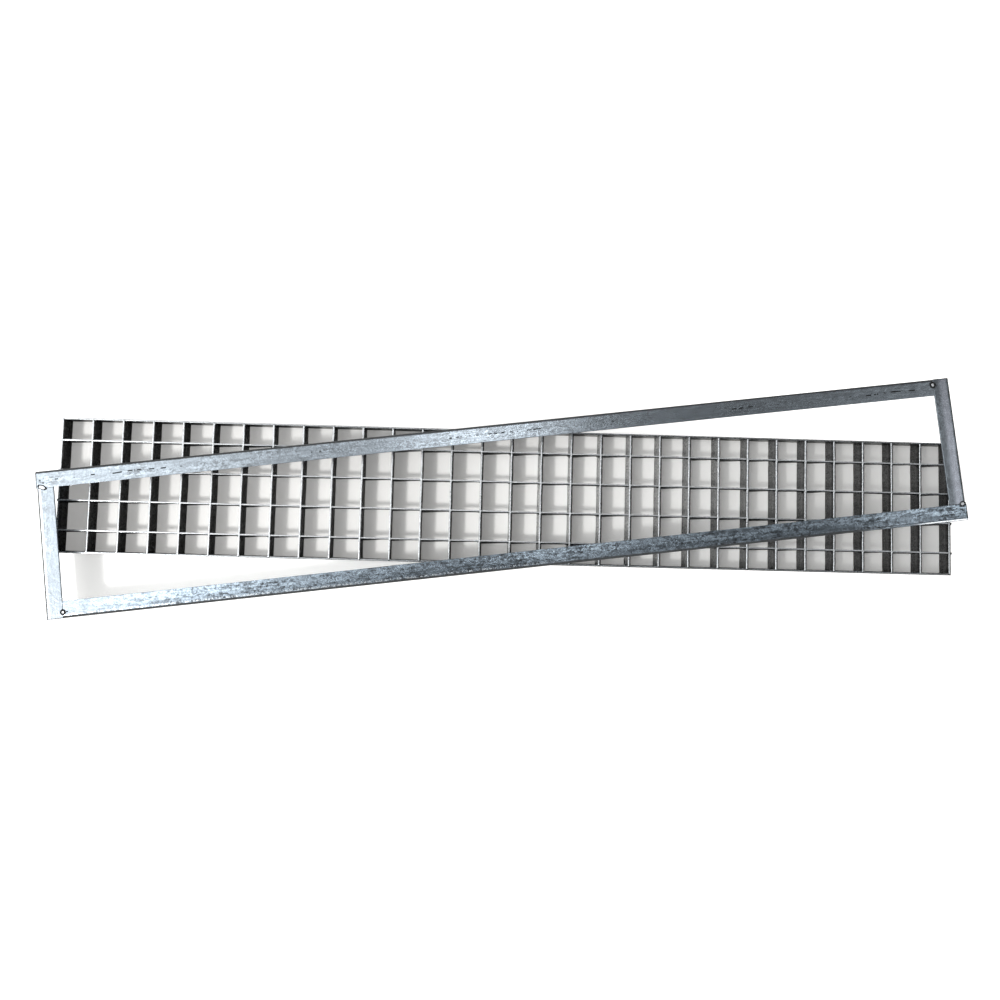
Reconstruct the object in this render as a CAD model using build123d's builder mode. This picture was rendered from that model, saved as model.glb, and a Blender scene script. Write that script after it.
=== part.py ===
"""Drainage grate: a press-locked steel grating panel with its angle-steel surround frame.

Both are galvanised. The panel lies flat on the floor. The frame lies turned over on top of it, with
its flange up and its legs down, and it is turned a few degrees about the vertical.

Units are millimetres. X runs along the panel's length, Y across it and Z up. The origin is on the
floor under the middle of the frame.
"""
import os

from build123d import *

# Grating panel, outside sizes over its end bars and edge bars.
panel_length = 1000.0
panel_width = 150.0

# Bearing bars: deep flats that span the panel's width.
bearing_bar_height = 20.0
bearing_bar_thickness = 2.0
cells_along_length = 30

# Cross bars: shallower flats along the panel's length, flush with the top.
cross_bar_height = 5.0
cross_bar_thickness = 2.0
cross_bar_pitch = 33.3
cross_bar_count = 4
cross_bar_nub = 1.2

# Edge bars: full-height flats that close the two long sides.
edge_bar_thickness = 2.0

# Surround frame: four lengths of cold-formed angle. The panel drops into it with the seat clearance
# all round.
angle_thickness = 2.0
angle_flange_width = 18.5
angle_bend_radius = 1.0
angle_edge_radius = 0.4
seat_clearance = 3.0

# How the frame lies on the panel.
frame_turn = 7.6
panel_offset_x = 3.7

# A seated panel stands level with the rim, so a leg is as deep as a bearing bar and the flange.
angle_leg_height = bearing_bar_height + angle_thickness
outer_bend_radius = angle_bend_radius + angle_thickness
frame_length = panel_length + 2 * (seat_clearance + angle_thickness)
frame_width = panel_width + 2 * (seat_clearance + angle_thickness)
bearing_bar_pitch = (panel_length - bearing_bar_thickness) / cells_along_length

panel_plane = Plane.XY.shift_origin((panel_offset_x, 0, 0))
frame_plane = Plane.XY.offset(bearing_bar_height).rotated((0, 0, frame_turn))


def relative_plane(base, origin, x_dir, z_dir):
    """A plane given in the coordinates of the base plane."""
    local = Plane(origin=origin, x_dir=x_dir, z_dir=z_dir)
    return Plane(base.location * local.location)


def make_grating():
    """Bearing bars, edge bars and cross bars, fused where they cross."""
    with BuildPart() as grating:
        with BuildSketch(panel_plane):
            with GridLocations(bearing_bar_pitch, 0, cells_along_length + 1, 1):
                Rectangle(bearing_bar_thickness, panel_width)
            with GridLocations(0, panel_width - edge_bar_thickness, 1, 2):
                Rectangle(panel_length, edge_bar_thickness)
        extrude(amount=bearing_bar_height)
        with BuildSketch(panel_plane.offset(bearing_bar_height)):
            with GridLocations(0, cross_bar_pitch, 1, cross_bar_count):
                Rectangle(panel_length + 2 * cross_bar_nub, cross_bar_thickness)
        extrude(amount=-cross_bar_height)
    return grating


def make_rail(corner_plane, side_length):
    """One side of the frame, coped at its near end and cut square at its far end.

    The corner plane's origin is the outer corner under the near end, its X runs along the rail and
    its Y points into the frame. At the near end the flange stops at the last rail's flange, and the
    leg goes on under that flange to the last rail's leg.
    """
    under_flange = angle_leg_height - angle_thickness
    section_plane = relative_plane(corner_plane, (angle_thickness, 0, 0), (0, 1, 0), (1, 0, 0))
    cope_plane = relative_plane(corner_plane, (0, 0, under_flange), (1, 0, 0), (0, 0, 1))
    with BuildPart() as rail:
        with BuildSketch(section_plane):
            with BuildLine():
                FilletPolyline(
                    (0, 0),
                    (0, angle_leg_height),
                    (angle_flange_width, angle_leg_height),
                    (angle_flange_width, under_flange),
                    (angle_thickness, under_flange),
                    (angle_thickness, 0),
                    radius=[
                        angle_edge_radius,
                        outer_bend_radius,
                        angle_edge_radius,
                        angle_edge_radius,
                        angle_bend_radius,
                        angle_edge_radius,
                    ],
                    close=True,
                )
            make_face()
        extrude(amount=side_length - angle_thickness)
        with BuildSketch(cope_plane):
            Rectangle(angle_flange_width, angle_flange_width, align=(Align.MIN, Align.MIN))
        extrude(amount=angle_thickness, mode=Mode.SUBTRACT)
        leg_end = rail.faces().sort_by(Axis(corner_plane.origin, corner_plane.x_dir))[0]
        chamfer(leg_end.edges().sort_by(Axis.Z)[-1], length=angle_bend_radius)
    return rail


def near_corner(turns):
    """The corner plane of one side, counted in quarter turns from the front side."""
    half_along, half_across = frame_length / 2, frame_width / 2
    if turns % 2:
        half_along, half_across = half_across, half_along
    along = Vector(1, 0, 0).rotate(Axis.Z, 90 * turns)
    inward = Vector(0, 1, 0).rotate(Axis.Z, 90 * turns)
    return relative_plane(frame_plane, along * -half_along + inward * -half_across, along, (0, 0, 1))


grating = make_grating()
frame_long_rail_front = make_rail(near_corner(0), frame_length)
frame_short_rail_right = make_rail(near_corner(1), frame_width)
frame_long_rail_back = make_rail(near_corner(2), frame_length)
frame_short_rail_left = make_rail(near_corner(3), frame_width)

pieces = {
    "grating": grating,
    "frame_long_rail_front": frame_long_rail_front,
    "frame_short_rail_right": frame_short_rail_right,
    "frame_long_rail_back": frame_long_rail_back,
    "frame_short_rail_left": frame_short_rail_left,
}

os.makedirs("parts", exist_ok=True)
for label, piece in pieces.items():
    piece.part.label = label
    export_step(piece.part, f"parts/{label}.step")
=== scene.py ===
import math
import random

import bpy
from mathutils import Matrix, Vector, noise


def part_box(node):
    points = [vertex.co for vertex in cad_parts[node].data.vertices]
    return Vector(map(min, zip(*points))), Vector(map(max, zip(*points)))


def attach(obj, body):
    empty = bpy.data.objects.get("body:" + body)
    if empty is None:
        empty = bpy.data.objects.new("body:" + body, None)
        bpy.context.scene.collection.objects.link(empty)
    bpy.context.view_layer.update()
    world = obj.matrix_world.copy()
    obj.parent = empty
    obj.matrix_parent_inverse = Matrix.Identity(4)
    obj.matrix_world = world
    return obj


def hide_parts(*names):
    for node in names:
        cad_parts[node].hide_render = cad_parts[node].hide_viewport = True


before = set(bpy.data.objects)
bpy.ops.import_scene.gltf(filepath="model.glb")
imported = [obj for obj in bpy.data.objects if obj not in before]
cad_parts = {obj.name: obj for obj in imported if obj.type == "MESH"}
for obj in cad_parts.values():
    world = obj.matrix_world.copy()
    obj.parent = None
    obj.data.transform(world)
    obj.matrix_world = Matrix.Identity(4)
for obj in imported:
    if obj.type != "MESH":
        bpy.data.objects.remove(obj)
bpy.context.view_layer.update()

# Lengths are in metres.
MM = 0.001

# The camera that the photograph was taken with, as the bars' lines give it.
CAMERA_PLACE = (-0.03138, -0.03596, 0.94013)
CAMERA_TURN = (3.541, -1.462, 1.515)
CAMERA_LENS = 29.61
CAMERA_SHIFT = (0.0009, -0.0225)

# The surround frame lies turned by this angle about the vertical. Its outer half sizes, its flange's
# width and the height of its upper face follow.
FRAME_TURN = math.radians(7.6)
FRAME_HALF = (505 * MM, 80 * MM)
FLANGE_WIDTH = 18.5 * MM
FLANGE_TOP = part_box("frame_long_rail_back")[1][2]

# The panel's bars.
PANEL_LOW, PANEL_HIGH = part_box("grating")
BAR_HEIGHT = PANEL_HIGH[2]
BAR_THICKNESS = 2 * MM
CROSS_NUB = 1.2 * MM
CROSS_HEIGHT = 5 * MM
CROSS_PITCH = 33.3 * MM
CROSS_COUNT = 4
CELLS = 30
PANEL_LEFT = PANEL_LOW[0] + CROSS_NUB
PANEL_RIGHT = PANEL_HIGH[0] - CROSS_NUB
PANEL_FRONT, PANEL_BACK = PANEL_LOW[1], PANEL_HIGH[1]
BAR_PITCH = (PANEL_RIGHT - PANEL_LEFT - BAR_THICKNESS) / CELLS
ACROSS_X = Vector((1, 0, 0))
ACROSS_Y = Vector((0, 1, 0))

# From each of these bearing bars on, counted from the left: how much the zinc thickens each side, and
# the radii of the left and right upper edges. The edge bars have even edges, and the cross bars are
# rounder at the front.
BEARING_EDGES = {
    0: (0.2 * MM, 0.85 * MM, 0.45 * MM),
    13: (0.6 * MM, 0.7 * MM, 1.7 * MM),
    22: (0.35 * MM, 0.85 * MM, 0.8 * MM),
    26: (0.35 * MM, 0.7 * MM, 1.4 * MM),
}
EVEN_ROLLS = (0.4 * MM, 0.4 * MM)
CROSS_ROLLS = (1.0 * MM, 0.4 * MM)

# How far the tops of the middle bars lie to the right of their places. The bow begins at this bar,
# counted from the left, and runs over this many pitches. This share of it comes from the bars' lean.
BAR_BOW = 2.3 * MM
BOW_BEGINS = 12
BOW_PITCHES = 17.5
BOW_LEAN = 0.7

# How far a bar's wavy faces stray: in lumps on its sides and in chips on its upper edges. The waves'
# lengths follow, with that of a bar's drift as a whole.
LUMP = 0.09 * MM
CHIP = 0.05 * MM
LUMP_LENGTH = 2.6 * MM
CHIP_LENGTH = 2.0 * MM
DRIFT_LENGTH = 16 * MM

# The steps along the bars at which their sections are laid.
BEARING_STEP = 1.5 * MM
EDGE_STEP = 2.0 * MM
CROSS_STEP = 3.3 * MM

# How far the inner bars stop short of the panel's outer faces, to end inside the outer bars.
BEARING_INSET = 0.7 * MM
EDGE_INSET = 1.8 * MM

# A bank of soft lamps stands at the left and a little in front. Its cone fades out over the panel's
# right end.
LAMP_PLACE = Vector((-2.3, -1.1, 2.88))
LAMP_AIM = Vector((-1.2, 0.0, 0.0))
LAMP_HALF_CONE = math.radians(22.2)
LAMP_BLEND = 0.4
LAMP_POWER = 120.0
LAMP_RADIUS = 0.13
LAMP_SPACING = 0.24


class Nodes:
    """A short way to write a material's node tree."""

    def __init__(self, tree):
        self.tree = tree

    def add(self, kind, **values):
        node = self.tree.nodes.new(kind)
        for key, value in values.items():
            setattr(node, key, value)
        return node

    def link(self, out, socket):
        self.tree.links.new(out, socket)

    def feed(self, socket, value):
        if isinstance(value, bpy.types.NodeSocket):
            self.link(value, socket)
        else:
            socket.default_value = value

    def math(self, operation, a, b=0.0, clamp=False):
        node = self.add("ShaderNodeMath", operation=operation, use_clamp=clamp)
        self.feed(node.inputs[0], a)
        self.feed(node.inputs[1], b)
        return node.outputs[0]

    def plus(self, a, b, clamp=False):
        return self.math("ADD", a, b, clamp)

    def minus(self, a, b):
        return self.math("SUBTRACT", a, b)

    def times(self, a, b):
        return self.math("MULTIPLY", a, b)

    def invert(self, value):
        return self.minus(1.0, value)

    def vector(self, operation, a, b=None, output=0):
        node = self.add("ShaderNodeVectorMath", operation=operation)
        self.feed(node.inputs[0], a)
        if b is not None:
            self.feed(node.inputs[1], b)
        return node.outputs[output]

    def mix(self, factor, a, b):
        node = self.add("ShaderNodeMix", data_type="RGBA")
        self.feed(node.inputs["Factor"], factor)
        self.feed(node.inputs[6], a)
        self.feed(node.inputs[7], b)
        return node.outputs[2]

    def noise(self, vector, size, detail=4.0, rough=0.55, distortion=0.0):
        node = self.add("ShaderNodeTexNoise")
        self.link(vector, node.inputs["Vector"])
        node.inputs["Scale"].default_value = 1.0 / size
        node.inputs["Detail"].default_value = detail
        node.inputs["Roughness"].default_value = rough
        node.inputs["Distortion"].default_value = distortion
        return node.outputs["Fac"]

    def span(self, value, low, high, to_low=0.0, to_high=1.0, smooth=True):
        """Maps low to high onto to_low to to_high and holds the ends outside."""
        kind = "SMOOTHSTEP" if smooth else "LINEAR"
        node = self.add("ShaderNodeMapRange", interpolation_type=kind)
        self.feed(node.inputs["Value"], value)
        self.feed(node.inputs["From Min"], low)
        self.feed(node.inputs["From Max"], high)
        self.feed(node.inputs["To Min"], to_low)
        self.feed(node.inputs["To Max"], to_high)
        return node.outputs["Result"]

    def band(self, value, low, high, soft):
        """1 between low and high and 0 outside, with soft edges."""
        rise = self.span(value, low - soft, low + soft)
        fall = self.span(value, high - soft, high + soft, 1.0, 0.0)
        return self.times(rise, fall)

    def mapped(self, vector, turn=0.0, scale=(1, 1, 1), shift=(0, 0, 0)):
        node = self.add("ShaderNodeMapping")
        self.link(vector, node.inputs["Vector"])
        node.inputs["Location"].default_value = shift
        node.inputs["Rotation"].default_value = (0, 0, turn)
        node.inputs["Scale"].default_value = scale
        return node.outputs["Vector"]

    def split(self, vector):
        node = self.add("ShaderNodeSeparateXYZ")
        self.link(vector, node.inputs[0])
        return node.outputs

    def bump(self, height, distance, strength=1.0, normal=None):
        node = self.add("ShaderNodeBump")
        self.link(height, node.inputs["Height"])
        node.inputs["Distance"].default_value = distance
        node.inputs["Strength"].default_value = strength
        if normal is not None:
            self.link(normal, node.inputs["Normal"])
        return node.outputs["Normal"]


def new_material(name):
    material = bpy.data.materials.new(name)
    material.use_nodes = True
    nodes = Nodes(material.node_tree)
    shader = material.node_tree.nodes["Principled BSDF"]
    return material, nodes, shader


def object_coords(nodes):
    return nodes.add("ShaderNodeTexCoord").outputs["Object"]


def zinc_color(value, blue=0.12):
    """Linear colour of zinc: its red falls and its blue rises by the same part."""
    return (value * (1 - blue), value, value * (1 + blue), 1.0)


def lamp_reach(nodes, place):
    """How much of the lamps' cone reaches a place: 1 inside it and 0 past its faded edge."""
    ray = nodes.vector("NORMALIZE", nodes.vector("SUBTRACT", place, LAMP_PLACE))
    axis = (LAMP_AIM - LAMP_PLACE).normalized()
    cosine = nodes.vector("DOT_PRODUCT", ray, axis, output="Value")
    edge = math.cos(LAMP_HALF_CONE)
    return nodes.span(cosine, edge, edge + LAMP_BLEND * (1 - edge))


# The rails are counted in quarter turns from the front one. Each rail's own coordinates start at its
# outer near corner: s runs along it and w runs into the frame.
FRONT, RIGHT, BACK, LEFT = range(4)


def rail_half_sizes(side):
    """The frame's half sizes along this side and across it."""
    return FRAME_HALF if side % 2 == 0 else FRAME_HALF[::-1]


def rail_point(side, s, w, z):
    """A point in the row's frame from a rail's own coordinates."""
    half_along, half_across = rail_half_sizes(side)
    turned = Matrix.Rotation(FRAME_TURN + side * math.pi / 2, 4, "Z")
    return turned @ Vector((s - half_along, w - half_across, z))


# How light each rail's zinc is, from its dark spots to its light ones, and how far the painted shade
# on its outer bend reaches in from the edge.
RAIL_ZINC = {FRONT: (0.03, 0.95), RIGHT: (0.14, 0.44), BACK: (0.20, 0.68), LEFT: (0.24, 0.58)}
RAIL_BEND = {FRONT: 2.7 * MM, RIGHT: 1.8 * MM, BACK: 2.5 * MM, LEFT: 2.6 * MM}

# Where the short scores lie along the back rail, and where the front rail is dim.
SCORED_STRETCHES = (
    (25 * MM, 100 * MM),
    (203 * MM, 258 * MM),
    (448 * MM, 562 * MM),
    (865 * MM, 955 * MM),
)
DIM_STRETCHES = ((390 * MM, 500 * MM), (790 * MM, 900 * MM))

# The flange and its bend lie above this height, and the leg below it.
BEND_FOOT = FLANGE_TOP - 3 * MM

# The dark of gaps, and the painted shade on the bends.
GAP_COLOR = zinc_color(0.04, 0.05)
BEND_SHADE_COLOR = zinc_color(0.025, 0.05)


def rail_tone(nodes, side, s, w, mottle, fine, streak, cloud):
    """How light the zinc is: spots and streaks lie clear in some stretches, others are calm."""
    clear = nodes.times(nodes.span(mottle, 0.44, 0.56), 0.45)
    clear = nodes.plus(clear, nodes.times(nodes.span(fine, 0.42, 0.58), 0.27))
    clear = nodes.plus(clear, nodes.times(nodes.span(streak, 0.42, 0.58), 0.28))
    calm = nodes.plus(0.30, nodes.times(clear, 0.36))
    if side == FRONT:
        busy = nodes.span(cloud, 0.32, 0.46)
        busy = nodes.times(busy, nodes.span(s, 50 * MM, 230 * MM, 0.35, 1.0))
    else:
        busy = nodes.span(cloud, 0.40, 0.56)
    if side == BACK:
        busy = nodes.times(busy, nodes.span(s, 250 * MM, 450 * MM, 0.25, 0.4))
        busy = nodes.times(busy, nodes.span(s, 600 * MM, 680 * MM, 1.0, 2.5))
    tone = nodes.mix(busy, calm, clear)
    if side == FRONT:
        # It is darker beside its bend and in the dim stretches.
        tone = nodes.times(tone, nodes.span(w, 5 * MM, 12 * MM, 0.68, 1.05))
        dim = 0.0
        for start, end in DIM_STRETCHES:
            dim = nodes.plus(dim, nodes.band(s, start, end, 35 * MM))
        tone = nodes.times(tone, nodes.invert(nodes.times(dim, 0.35)))
    return tone


def add_highlights_and_tone(nodes, side, color, s, w, fine, on_flange):
    """Painted highlights and reflections as pale bands and flecks beside the bends; also a dark left
    leg, and dull zinc at the front left.
    """
    if side == RIGHT:
        # Painted reflection: a pale band beside the bend.
        rise = nodes.span(w, 2.6 * MM, 5 * MM)
        fall = nodes.span(w, 8.5 * MM, 15 * MM, 1.0, 0.0)
        highlight_strip = nodes.times(nodes.times(rise, fall), 0.8)
        color = nodes.mix(highlight_strip, color, (0.68, 0.71, 0.80, 1.0))
    if side == LEFT:
        # Painted highlight: a white band at the outer edge of the flange.
        highlight_strip = nodes.times(nodes.span(w, 4 * MM, 5.5 * MM, 0.9, 0.0), on_flange)
        color = nodes.mix(highlight_strip, color, zinc_color(0.86, 0.04))
        leg = nodes.invert(on_flange)
        color = nodes.mix(nodes.times(leg, 0.65), color, zinc_color(0.09))
        dull = nodes.span(s, 70 * MM, 145 * MM, 0.0, 0.65)
        color = nodes.mix(dull, color, zinc_color(0.20, 0.10))
    if side == FRONT:
        # Painted highlight: pale flecks in a band beside the bend.
        glint_specks = nodes.band(w, 2.8 * MM, 4.6 * MM, 0.4 * MM)
        glint_specks = nodes.times(glint_specks, nodes.span(fine, 0.46, 0.58))
        glint_specks = nodes.times(glint_specks, nodes.span(s, 480 * MM, 580 * MM, 0.8, 0.15))
        color = nodes.mix(glint_specks, color, zinc_color(0.95, 0.05))
        dull = nodes.span(s, 12 * MM, 90 * MM, 0.6, 0.0)
        color = nodes.mix(dull, color, zinc_color(0.22, 0.10))
    return color


def score_mask(nodes, coords, s, w):
    """Short scores in a row along the rail, a little inside its middle line."""
    along = nodes.mapped(coords, scale=(1, 0.05, 0.05))
    drift = nodes.noise(along, 40 * MM, detail=1)
    line = nodes.plus(w, nodes.span(drift, 0.3, 0.7, -0.8 * MM, 0.8 * MM, smooth=False))
    row = nodes.band(line, 9.4 * MM, 10.7 * MM, 0.12 * MM)
    beat = nodes.noise(along, 5 * MM, detail=1)
    scored = 0.0
    for start, end in SCORED_STRETCHES:
        scored = nodes.plus(scored, nodes.band(s, start, end, 2 * MM))
    limit = nodes.span(scored, 0.0, 1.0, 0.66, 0.51, smooth=False)
    dash = nodes.span(nodes.minus(beat, limit), 0.0, 0.015)
    return nodes.times(row, dash)


def zinc_rail_material(name, side):
    """Galvanised angle: mottled zinc with painted highlights beside the bends, painted shade on the
    bend, a dark joint and cut end, and some scores.
    """
    material, nodes, shader = new_material(name)
    half_along, half_across = rail_half_sizes(side)
    turn = -(FRAME_TURN + side * math.pi / 2)
    coords = nodes.mapped(object_coords(nodes), turn=turn, shift=(half_along, half_across, 0))
    s, w, z = nodes.split(coords)
    on_flange = nodes.span(z, BEND_FOOT - 0.6 * MM, BEND_FOOT + 0.6 * MM)

    # Spots, grain, streaks along the rail and broad clouds.
    stretched = nodes.mapped(coords, scale=(0.6, 1, 1))
    mottle = nodes.noise(stretched, 4.6 * MM, detail=4, rough=0.62, distortion=1.2)
    fine = nodes.noise(coords, 2.2 * MM, detail=2, rough=0.6)
    stretched = nodes.mapped(coords, scale=(0.07, 1, 1))
    streak = nodes.noise(stretched, 2.6 * MM, detail=4, rough=0.65)
    stretched = nodes.mapped(coords, scale=(0.3, 1, 1))
    cloud = nodes.noise(stretched, 16 * MM, detail=3, rough=0.6)

    tone = rail_tone(nodes, side, s, w, mottle, fine, streak, cloud)
    dark, light = RAIL_ZINC[side]
    blue = 0.16 if side == FRONT else 0.11
    color = nodes.mix(tone, zinc_color(dark, 0.08), zinc_color(light, blue))
    color = add_highlights_and_tone(nodes, side, color, s, w, fine, on_flange)

    # Painted shade darkens the bend up to a ragged line. It thins out at the front rail's right end,
    # where a painted highlight lies along the outer edge.
    wobble = 1.2 * MM if side in (FRONT, BACK) else 0.5 * MM
    edge = nodes.plus(w, nodes.times(nodes.minus(mottle, 0.5), wobble))
    bend_width = RAIL_BEND[side]
    bend = nodes.span(edge, bend_width - 0.3 * MM, bend_width + 0.3 * MM, 0.97, 0.0)
    bend = nodes.times(bend, on_flange)
    if side == FRONT:
        bend = nodes.times(bend, nodes.span(s, 880 * MM, 930 * MM, 1.0, 0.15))
    color = nodes.mix(bend, color, BEND_SHADE_COLOR)
    if side == FRONT:
        # Painted highlight: a pale glint along the outer edge near the right end.
        wear_and_glint = nodes.band(edge, 0.5 * MM, 1.9 * MM, 0.2 * MM)
        wear_and_glint = nodes.times(wear_and_glint, nodes.span(s, 945 * MM, 970 * MM))
        color = nodes.mix(wear_and_glint, color, zinc_color(0.97, 0.02))

    # The butt joint lies at the near end, and the cut at the far end.
    joint = nodes.band(s, FLANGE_WIDTH - 0.1 * MM, FLANGE_WIDTH + 0.45 * MM, 0.15 * MM)
    color = nodes.mix(nodes.times(joint, 0.85), color, GAP_COLOR)
    length = 2 * half_along
    cut = nodes.span(s, length - 1.4 * MM, length - 0.8 * MM, 0.0, 0.8)
    color = nodes.mix(cut, color, GAP_COLOR)
    if side == BACK:
        scores = score_mask(nodes, coords, s, w)
        color = nodes.mix(scores, color, zinc_color(0.006, 0.0))
    nodes.link(color, shader.inputs["Base Color"])

    metal = nodes.times(nodes.invert(bend), 0.85)
    nodes.link(metal, shader.inputs["Metallic"])
    rough = nodes.span(tone, 0.0, 1.0, 0.24, 0.17, smooth=False)
    nodes.link(nodes.plus(rough, nodes.times(bend, 0.4)), shader.inputs["Roughness"])
    relief = 0.08 * MM if side == BACK else 0.12 * MM
    normal = nodes.bump(mottle, relief, 0.8)
    normal = nodes.bump(streak, 0.07 * MM, 0.7, normal)
    normal = nodes.bump(fine, 0.05 * MM, 0.6, normal)
    nodes.link(normal, shader.inputs["Normal"])
    return material


def outer_faces(nodes, x, y, normal_x, normal_y):
    """1 on the faces that look out of the panel and 0 on those that look into its cells."""
    outer = 0.0
    ends = (x, normal_x, PANEL_LEFT, PANEL_RIGHT)
    long_sides = (y, normal_y, PANEL_FRONT, PANEL_BACK)
    for place, normal, low, high in (ends, long_sides):
        near_low = nodes.math("LESS_THAN", place, low + 0.5 * MM)
        near_high = nodes.math("GREATER_THAN", place, high - 0.5 * MM)
        outward = nodes.math("GREATER_THAN", nodes.math("ABSOLUTE", normal), 0.6)
        outward = nodes.times(outward, nodes.plus(near_low, near_high))
        outer = nodes.plus(outer, outward, clamp=True)
    return outer


def over_cross_bars(nodes, y):
    """1 over the cross bars' rows and 0 between them."""
    middle = (PANEL_FRONT + PANEL_BACK) / 2
    rows = nodes.math("DIVIDE", nodes.minus(y, middle), CROSS_PITCH)
    off_row = nodes.math("ABSOLUTE", nodes.minus(nodes.math("FRACT", rows), 0.5))
    return nodes.math("LESS_THAN", off_row, 1.3 * MM / CROSS_PITCH)


def zinc_bar_material(name):
    """Galvanised flat bar: bright upper edges with wear, sides dark with painted shade inside the
    panel, and painted lamp light on the sides that face the lamps.
    """
    material, nodes, shader = new_material(name)
    coords = object_coords(nodes)
    x, y, _ = nodes.split(coords)
    geometry = nodes.add("ShaderNodeNewGeometry")
    normal_x, normal_y, normal_z = nodes.split(geometry.outputs["Normal"])
    mottle = nodes.noise(coords, 2.0 * MM, detail=5, rough=0.65, distortion=0.5)
    grain = nodes.noise(coords, 0.8 * MM, detail=3)
    pimples = nodes.noise(coords, 1.4 * MM, detail=3, rough=0.6)
    runs = nodes.noise(nodes.mapped(coords, scale=(1, 1, 0.15)), 2.5 * MM, detail=4)

    # Painted shade: the sides are dark inside the panel and grey outside. Painted light: the sides
    # that face the lamps turn pale where the lamps reach.
    inner_runs = nodes.span(runs, 0.35, 0.7)
    side_color = nodes.mix(inner_runs, zinc_color(0.03, 0.0), zinc_color(0.08, 0.0))
    outer_runs = nodes.span(runs, 0.35, 0.65)
    outer_color = nodes.mix(outer_runs, zinc_color(0.24, 0.05), zinc_color(0.46, 0.05))
    outer = outer_faces(nodes, x, y, normal_x, normal_y)
    side_color = nodes.mix(outer, side_color, outer_color)
    painted_lamplight = nodes.times(nodes.span(normal_x, -0.5, -0.95), lamp_reach(nodes, coords))
    painted_lamplight = nodes.times(painted_lamplight, nodes.span(runs, 0.2, 0.6, 0.7, 1.0))
    side_color = nodes.mix(painted_lamplight, side_color, zinc_color(0.38, 0.0))

    # Painted shade: the top colour runs round the edges that face left and back and stops short of
    # the edges that face right and front, which keep the dark side colour.
    tilt = nodes.math("MAXIMUM", normal_x, nodes.times(normal_y, -1.0))
    threshold = nodes.span(tilt, 0.05, 0.25, 0.15, 0.97)
    top = nodes.span(nodes.minus(normal_z, threshold), 0.0, 0.1)
    wear_and_glint = nodes.span(nodes.plus(mottle, nodes.times(grain, 0.5)), 0.58, 0.84)
    top_color = nodes.mix(wear_and_glint, zinc_color(0.36, 0.03), zinc_color(0.66, 0.02))
    # The cross bars' tops are duller and paler.
    cross = nodes.times(over_cross_bars(nodes, y), top)
    cross_color = nodes.mix(wear_and_glint, zinc_color(0.50, 0.03), zinc_color(0.78, 0.02))
    top_color = nodes.mix(cross, top_color, cross_color)
    nodes.link(nodes.mix(top, side_color, top_color), shader.inputs["Base Color"])

    dull = nodes.times(painted_lamplight, nodes.invert(top))
    metal = nodes.span(dull, 0.0, 1.0, 0.9, 0.15, smooth=False)
    metal = nodes.minus(metal, nodes.times(cross, 0.42))
    nodes.link(metal, shader.inputs["Metallic"])
    nodes.link(nodes.span(mottle, 0.3, 0.7, 0.32, 0.22), shader.inputs["Roughness"])
    normal = nodes.bump(mottle, 0.10 * MM, 0.7)
    normal = nodes.bump(pimples, 0.08 * MM, 0.6, normal)
    nodes.link(normal, shader.inputs["Normal"])
    return material


def weld_material(name):
    """A weld's crown: pale rippled zinc, partly its own colour and partly a painted highlight."""
    material, nodes, shader = new_material(name)
    ripple = nodes.noise(object_coords(nodes), 0.9 * MM, detail=3, rough=0.6)
    pale = nodes.mix(nodes.span(ripple, 0.35, 0.65), zinc_color(0.55, 0.04), zinc_color(0.95, 0.01))
    nodes.link(pale, shader.inputs["Base Color"])
    shader.inputs["Metallic"].default_value = 0.3
    nodes.link(nodes.span(ripple, 0.3, 0.7, 0.44, 0.34), shader.inputs["Roughness"])
    nodes.link(nodes.bump(ripple, 0.06 * MM, 0.7), shader.inputs["Normal"])
    return material


def toe_shade_and_spatter_material(name):
    """Painted shade at a weld's toe, dull and dark; the dark spatter is made of it too."""
    material, nodes, shader = new_material(name)
    grain = nodes.noise(object_coords(nodes), 0.7 * MM, detail=4, rough=0.6)
    dark = nodes.mix(nodes.span(grain, 0.35, 0.65), zinc_color(0.010, 0.0), zinc_color(0.03, 0.05))
    nodes.link(dark, shader.inputs["Base Color"])
    shader.inputs["Specular IOR Level"].default_value = 0.15
    shader.inputs["Roughness"].default_value = 0.8
    return material


def under_panel_mask(nodes, x, y):
    """1 under the panel and 0 round it."""
    inside = nodes.math("GREATER_THAN", x, PANEL_LEFT + MM)
    inside = nodes.times(inside, nodes.math("LESS_THAN", x, PANEL_RIGHT - MM))
    inside = nodes.times(inside, nodes.math("GREATER_THAN", y, PANEL_FRONT + MM))
    return nodes.times(inside, nodes.math("LESS_THAN", y, PANEL_BACK - MM))


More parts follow.
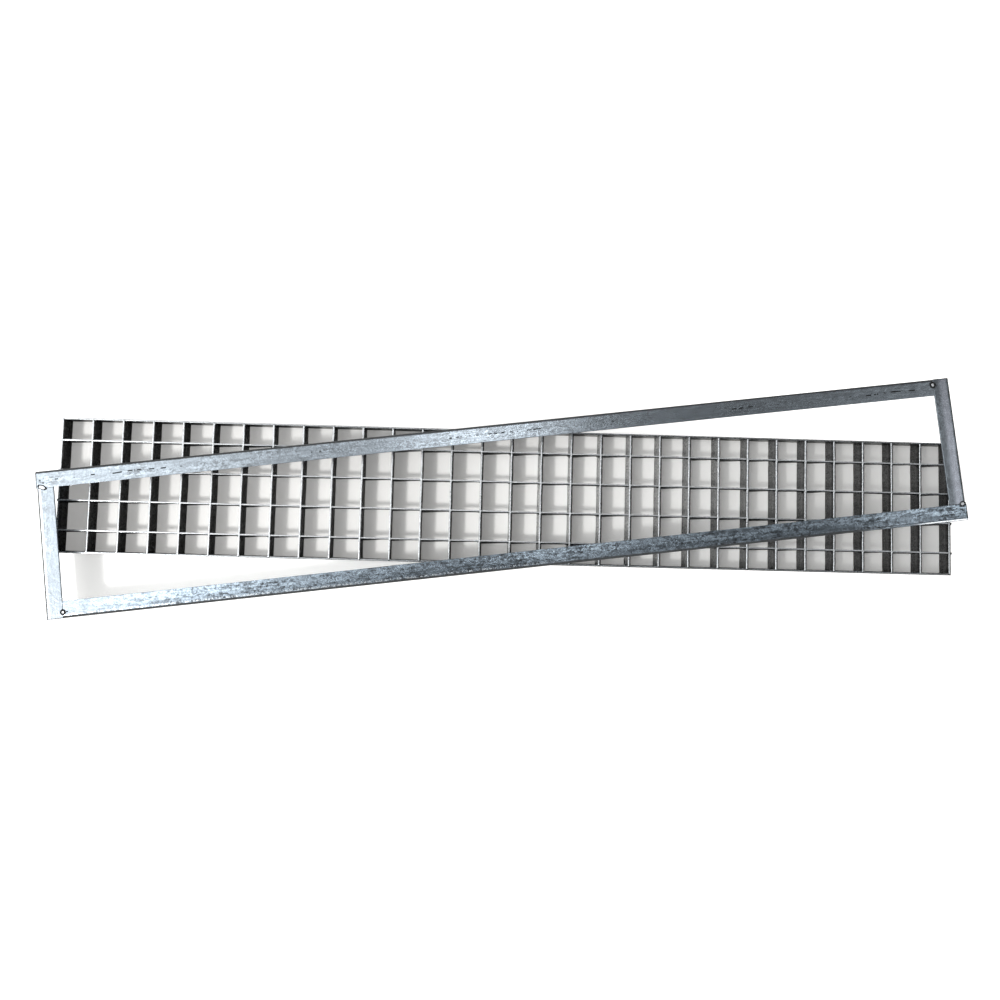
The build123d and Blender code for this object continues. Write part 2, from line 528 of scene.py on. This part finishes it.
def floor_material():
    """Pale paper: white to the camera all round by painted light, and light grey under the panel's
    cells, with painted shade under the left ones.
    """
    material, nodes, shader = new_material("pale_floor")
    coords = object_coords(nodes)
    x, y, _ = nodes.split(coords)
    under_panel = under_panel_mask(nodes, x, y)
    patch = nodes.span(nodes.noise(coords, 40 * MM, detail=6, rough=0.6), 0.3, 0.7)
    color = nodes.mix(patch, (0.885, 0.875, 0.85, 1), (0.915, 0.905, 0.885, 1))
    # Painted shade: under the panel's left part the paper is a little darker.
    cell_shade = nodes.span(x, PANEL_LEFT + 350 * MM, PANEL_LEFT + 620 * MM, 1.0, 0.0)
    color = nodes.mix(nodes.times(under_panel, cell_shade), color, (0.74, 0.73, 0.71, 1))
    nodes.link(color, shader.inputs["Base Color"])
    shader.inputs["Roughness"].default_value = 0.9
    shader.inputs["Specular IOR Level"].default_value = 0.1

    # Painted light: only the camera sees the floor lifted towards white, most where the lamps' cone
    # fades and behind the panel, and under the cells more at the left than at the right.
    open_lift = nodes.span(lamp_reach(nodes, coords), 0.0, 1.0, 0.85, 0.46, smooth=False)
    behind = nodes.span(y, PANEL_BACK - 20 * MM, PANEL_BACK, 0.0, 0.25)
    open_lift = nodes.times(nodes.invert(under_panel), nodes.plus(open_lift, behind))
    cell_lift = nodes.span(x, PANEL_LEFT + 200 * MM, PANEL_LEFT + 400 * MM, 0.275, 0.185)
    lift = nodes.plus(open_lift, nodes.times(under_panel, cell_lift))
    seen = nodes.add("ShaderNodeLightPath").outputs["Is Camera Ray"]
    shader.inputs["Emission Color"].default_value = (1.0, 0.99, 0.97, 1.0)
    nodes.link(nodes.times(lift, seen), shader.inputs["Emission Strength"])
    return material


def make_floor():
    half = 4.0
    corners = [(-half, -half, 0), (half, -half, 0), (half, half, 0), (-half, half, 0)]
    mesh = bpy.data.meshes.new("floor")
    mesh.from_pydata(corners, [], [(0, 1, 2, 3)])
    mesh.materials.append(floor_material())
    floor = bpy.data.objects.new("floor", mesh)
    bpy.context.scene.collection.objects.link(floor)


def make_camera():
    camera = bpy.data.objects.new("camera", bpy.data.cameras.new("camera"))
    bpy.context.scene.collection.objects.link(camera)
    camera.data.sensor_width = 36.0
    camera.data.lens = CAMERA_LENS
    camera.data.shift_x, camera.data.shift_y = CAMERA_SHIFT
    camera.data.clip_start = 0.01
    camera.location = CAMERA_PLACE
    camera.rotation_euler = [math.radians(angle) for angle in CAMERA_TURN]
    bpy.context.scene.camera = camera


def make_key_lights():
    """Three round lamps side by side act as one soft bar of light."""
    towards = LAMP_PLACE - LAMP_AIM
    sideways = Vector((0, 0, 1)).cross(towards).normalized()
    for index in (-1, 0, 1):
        lamp = bpy.data.lights.new(f"key_{index + 1}", "SPOT")
        lamp.energy = LAMP_POWER
        lamp.shadow_soft_size = LAMP_RADIUS
        lamp.spot_size = 2 * LAMP_HALF_CONE
        lamp.spot_blend = LAMP_BLEND
        key = bpy.data.objects.new(lamp.name, lamp)
        bpy.context.scene.collection.objects.link(key)
        key.location = LAMP_PLACE + sideways * (index * LAMP_SPACING)
        key.rotation_euler = towards.to_track_quat("Z", "Y").to_euler()


def make_world():
    """A soft room: pale on the left and along the horizon, with a few pale patches overhead.

    The camera sees plain white in its place.
    """
    world = bpy.data.worlds.new("room")
    bpy.context.scene.world = world
    world.use_nodes = True
    nodes = Nodes(world.node_tree)
    background = world.node_tree.nodes["Background"]
    direction = nodes.add("ShaderNodeTexCoord").outputs["Generated"]
    x, y, z = nodes.split(direction)
    pale = nodes.span(x, -0.50, -0.10, 2.15, 0.0)
    aside = nodes.span(nodes.math("ABSOLUTE", y), 0.25, 0.75, 1.0, 0.35)
    level = nodes.plus(nodes.times(pale, aside), 0.09)
    level = nodes.plus(level, nodes.span(z, 0.25, 0.62, 0.35, 0.0))

    # Patches overhead show in the rails: their centres, the radii where they fade, and strengths.
    above = nodes.math("GREATER_THAN", z, 0.0)
    flat = nodes.vector("MULTIPLY", direction, (1, 1, 0))
    patches = (
        ((-0.003, 0.135, 0), 0.05, 0.10, 4.2),
        ((-0.12, 0.12, 0), 0.02, 0.12, 0.4),
        ((0.12, -0.05, 0), 0.02, 0.08, 1.0),
        ((0.51, 0.04, 0), 0.06, 0.15, 0.75),
        ((0.74, -0.60, 0), 0.10, 0.22, 4.0),
    )
    for centre, inner, outer, strength in patches:
        away = nodes.vector("LENGTH", nodes.vector("SUBTRACT", flat, centre), output="Value")
        patch = nodes.span(away, inner, outer, strength, 0.0)
        level = nodes.plus(level, nodes.times(patch, above))
    seen = nodes.add("ShaderNodeLightPath").outputs["Is Camera Ray"]
    level = nodes.times(level, nodes.invert(seen))
    background.inputs["Color"].default_value = (0.98, 1.0, 1.01, 1)
    nodes.link(nodes.plus(level, nodes.times(seen, 1.02)), background.inputs["Strength"])


def mesh_object(name, verts, faces, material):
    mesh = bpy.data.meshes.new(name)
    mesh.from_pydata(verts, [], faces)
    mesh.materials.append(material)
    for polygon in mesh.polygons:
        polygon.use_smooth = True
    mesh.update()
    piece = bpy.data.objects.new(name, mesh)
    bpy.context.scene.collection.objects.link(piece)
    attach(piece, "root")
    return piece


def bar_section(half, height, depth, rolls):
    """A flat bar's section as (across, z) points. Its two upper edges are rolled round."""
    left, right = ([], [])
    for side, roll, points in ((-1, rolls[0], left), (1, rolls[1], right)):
        points.append((side * half, height - depth))
        for step in range(4):
            angle = step * math.pi / 6
            across = half - roll * (1 - math.cos(angle))
            points.append((side * across, height - roll * (1 - math.sin(angle))))
    return left + right[::-1]


class BarMesh:
    """Collects bars laid one by one, each a closed tube with slightly wavy faces."""

    def __init__(self):
        self.verts = []
        self.faces = []

    def ring(self, place, across, section, seed, sway, lean=0.0):
        """One station of a bar: lean moves the lower edge sideways."""
        top = section[len(section) // 2][1]
        depth = top - section[0][1]
        drift = sway * noise.noise(place / DRIFT_LENGTH + Vector((seed, 0, 0)))
        points = []
        for offset, z in section:
            side = 1.0 if offset > 0 else -1.0
            lump = LUMP * noise.noise(place / LUMP_LENGTH + Vector((0, 7 * side, seed)))
            chip = CHIP * noise.noise(place / CHIP_LENGTH + Vector((seed, 3 * side, 5)))
            shift = drift + side * lump + lean * (top - z) / depth
            z_lump = chip - CHIP if z > top - 0.4 * MM else 0.0
            points.append(place + across * (offset + shift) + Vector((0, 0, z + z_lump)))
        first = len(self.verts)
        self.verts.extend(points)
        return range(first, first + len(points))

    def tube(self, rings):
        count = len(rings[0])
        for a, b in zip(rings, rings[1:]):
            for i in range(count):
                j = (i + 1) % count
                self.faces.append((a[i], a[j], b[j], b[i]))
        self.faces.append(tuple(reversed(rings[0])))
        self.faces.append(tuple(rings[-1]))


def stations(low, high, step):
    count = max(2, round((high - low) / step))
    return [low + (high - low) * i / count for i in range(count + 1)]


def lay_bearing_bars(bars, chance):
    """The deep bars across the panel. The middle ones bow to the right, and each leans a little."""
    half = BAR_THICKNESS / 2
    for k in range(CELLS + 1):
        if k in BEARING_EDGES:
            coat, *rolls = BEARING_EDGES[k]
            section = bar_section(half + coat, BAR_HEIGHT, BAR_HEIGHT, rolls)
        at_end = k in (0, CELLS)
        inset = 0.0 if at_end else BEARING_INSET
        sway = 0.05 * MM if at_end else 0.22 * MM
        bow, lean = 0.0, 0.0
        if not at_end:
            phase = min(1.0, max(0.0, (k - BOW_BEGINS) / BOW_PITCHES))
            bow = BAR_BOW * math.sin(math.pi * phase)
            lean = chance.uniform(-0.7, 0.5) * MM - BOW_LEAN * bow
        x = PANEL_LEFT + half + k * BAR_PITCH + bow
        rings = []
        for y in reversed(stations(PANEL_FRONT + inset, PANEL_BACK - inset, BEARING_STEP)):
            rings.append(bars.ring(Vector((x, y, 0)), ACROSS_X, section, k, sway, lean))
        bars.tube(rings)


def lay_edge_bars(bars):
    """The full-height bars along the panel's two long sides."""
    half = BAR_THICKNESS / 2
    height = BAR_HEIGHT - 0.04 * MM
    section = bar_section(half, height, height, EVEN_ROLLS)
    xs = stations(PANEL_LEFT + EDGE_INSET, PANEL_RIGHT - EDGE_INSET, EDGE_STEP)
    for seed, y in ((50, PANEL_FRONT + half), (51, PANEL_BACK - half)):
        rings = [bars.ring(Vector((x, y, 0)), ACROSS_Y, section, seed, 0.04 * MM) for x in xs]
        bars.tube(rings)


def lay_cross_bars(bars, chance):
    """The shallow pressed bars along the panel. They lean a little, anew in each cell."""
    half = BAR_THICKNESS / 2 + 0.15 * MM
    section = bar_section(half, BAR_HEIGHT - 0.12 * MM, CROSS_HEIGHT, CROSS_ROLLS)
    for j in range(CROSS_COUNT):
        y = (PANEL_FRONT + PANEL_BACK) / 2 + (j - (CROSS_COUNT - 1) / 2) * CROSS_PITCH
        leans = []
        for _ in range(CELLS + 2):
            start = chance.uniform(-2.5, -0.5) * MM
            end = chance.uniform(-0.6, 0.4) * MM
            leans.append((start, end))
        rings = []
        for x in stations(PANEL_LOW[0], PANEL_HIGH[0], CROSS_STEP):
            cell, phase = divmod((x - PANEL_LEFT) / BAR_PITCH, 1.0)
            start, end = leans[int(cell) + 1]
            lean = start + (end - start) * phase
            place = Vector((x, y, 0))
            rings.append(bars.ring(place, ACROSS_Y, section, 60 + j, 0.15 * MM, lean))
        bars.tube(rings)


def make_grating():
    """The panel's bars with worn edges, in the place of the plain ones."""
    bars = BarMesh()
    chance = random.Random(11)
    lay_bearing_bars(bars, chance)
    lay_edge_bars(bars)
    lay_cross_bars(bars, chance)
    material = zinc_bar_material("zinc_bar")
    piece = mesh_object("grating_bars", bars.verts, bars.faces, material)
    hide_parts("grating")


def make_weld(name, centre, long_radius, short_radius, turn, crown, hollow, toe, materials, seed):
    """A low weld lump: its profile rises from a sunk toe to a crown, which can have a hollow.

    The faces past the toe's share of the radius are dark: painted shade at a weld's toe, and dark
    spatter where the share is 0.
    """
    rings, steps = 12, 28
    hollow_share = 0.5
    sunk = 0.03 * MM
    roughness = 0.06 * MM
    verts = [Vector((0, 0, crown - hollow))]
    for i in range(1, rings + 1):
        t = i / rings
        dip = hollow * max(0.0, 1 - (t / hollow_share) ** 2)
        height = crown * (1 - t ** 2) - dip - sunk * t
        for k in range(steps):
            angle = 2 * math.pi * k / steps
            wave = 1 + 0.2 * noise.noise(Vector((2 * math.cos(angle), 2 * math.sin(angle), seed)))
            ripple = roughness * noise.noise(Vector((3 * t, angle, seed + 5)))
            verts.append(Vector((
                long_radius * t * wave * math.cos(angle),
                short_radius * t * wave * math.sin(angle),
                height + ripple * (1 - t),
            )))
    faces = [(0, 1 + k, 1 + (k + 1) % steps) for k in range(steps)]
    for i in range(rings - 1):
        inner, outer = 1 + i * steps, 1 + (i + 1) * steps
        for k in range(steps):
            n = (k + 1) % steps
            faces.append((inner + k, outer + k, outer + n, inner + n))
    rim = 1 + (rings - 1) * steps
    faces.append(tuple(rim + k for k in reversed(range(steps))))
    placed = Matrix.Translation(centre) @ Matrix.Rotation(turn, 4, "Z")
    piece = mesh_object(name, [placed @ v for v in verts], faces, materials[0])
    piece.data.materials.append(materials[1])
    for index, polygon in enumerate(piece.data.polygons):
        ring = 0 if index < steps else 1 + (index - steps) // steps
        polygon.material_index = 1 if ring / rings >= toe else 0


# The spots on the frame's flange: a weld on each butt joint, where a rail meets the last rail's
# flange, and some dark spatter. Each gives its rail; in millimetres how far its centre lies past the
# joint and in from the outer edge; its twist in radians; in millimetres its long and short radii, its
# crown's height and its hollow's depth; and the share of its radius where the painted shade of its
# dark toe begins.
WELD_SPOTS = {
    "weld_front_left": (FRONT, 0.0, 6.6, 0.0, 3.6, 3.3, 0.42, 0.20, 0.33),
    "weld_front_right": (RIGHT, 0.2, 4.4, 0.4, 3.9, 3.1, 0.40, 0.10, 0.42),
    "weld_back_right": (BACK, 1.0, 6.4, 0.3, 4.2, 3.4, 0.45, 0.0, 0.34),
    "weld_back_left": (LEFT, -0.8, 6.4, -0.45, 5.6, 2.7, 0.42, 0.0, 0.55),
    "spatter_front_left": (FRONT, 4.2, 7.0, 1.6, 1.9, 0.8, 0.15, 0.0, 0.0),
    "spatter_back_left": (LEFT, -5.4, 8.0, 0.0, 1.0, 0.9, 0.25, 0.0, 0.0),
    "spatter_back_right": (BACK, -2.8, 6.6, 0.2, 2.6, 0.8, 0.15, 0.0, 0.0),
}


def make_welds():
    bead = (weld_material("weld_zinc"), toe_shade_and_spatter_material("weld_toe_shade_and_spatter"))
    for seed, (name, spot) in enumerate(WELD_SPOTS.items()):
        side, along, inward, twist, long_radius, short_radius, crown, hollow, toe = spot
        centre = rail_point(side, FLANGE_WIDTH + along * MM, inward * MM, FLANGE_TOP)
        turn = FRAME_TURN + (side + 1) * math.pi / 2 + twist
        sizes = [size * MM for size in (long_radius, short_radius)]
        make_weld(name, centre, *sizes, turn, crown * MM, hollow * MM, toe, bead, seed)


def dress_frame():
    """The rails keep their shape and get their finish."""
    rails = {
        "frame_long_rail_front": FRONT,
        "frame_short_rail_right": RIGHT,
        "frame_long_rail_back": BACK,
        "frame_short_rail_left": LEFT,
    }
    for node, side in rails.items():
        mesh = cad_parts[node].data
        mesh.materials.clear()
        mesh.materials.append(zinc_rail_material(node.replace("frame", "zinc"), side))


make_camera()
make_key_lights()
make_world()
make_floor()
make_grating()
make_welds()
dress_frame()
bpy.context.scene.view_settings.view_transform = "Standard"
